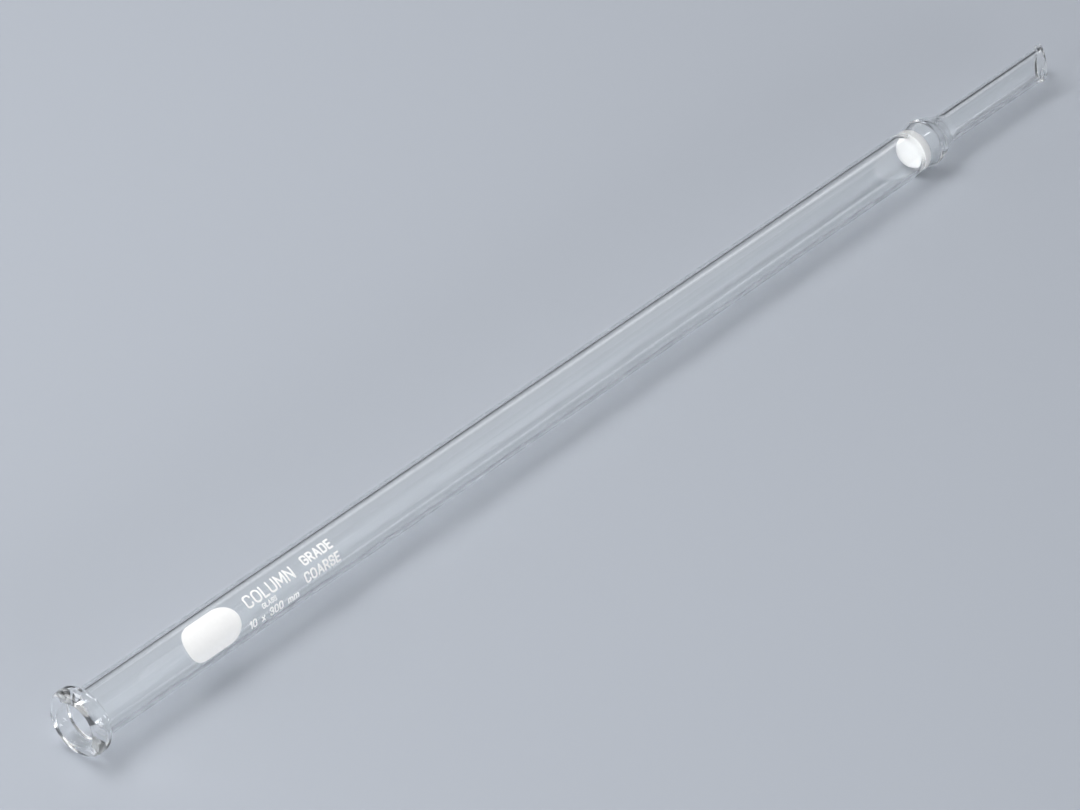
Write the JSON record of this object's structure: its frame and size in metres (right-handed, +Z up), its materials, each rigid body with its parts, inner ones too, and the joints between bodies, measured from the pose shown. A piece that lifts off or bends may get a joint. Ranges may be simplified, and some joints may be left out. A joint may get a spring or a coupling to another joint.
{
  "type": "fritted glass chromatography column",
  "caption": "Slim clear glass tube with a rolled rim, a white sintered disc sealed in near the far end and a narrow drip stem with a slanted tip.",
  "frame": {"origin": "on the surface the column lies on, below the middle of its overall length", "axes": "+X along the tube from the mouth to the drip tip, +Z up, the long side of the slanted tip at +Y, the print on the upper -Y side"},
  "size_m": [0.363, 0.0162, 0.0162],
  "materials": {
    "clear_glass": "clear, fire-polished",
    "sintered_glass": "matt, granular",
    "white_enamel": "smooth fired enamel"
  },
  "bodies": {
    "root": {"mouth_bead": "clear_glass", "column_tube": "clear_glass", "disc_seal": "clear_glass", "drip_stem": "clear_glass", "sintered_disc": "sintered_glass", "marking_spot": "white_enamel", "print_size": "white_enamel", "print_grade": "white_enamel"}
  },
  "joints": []
}
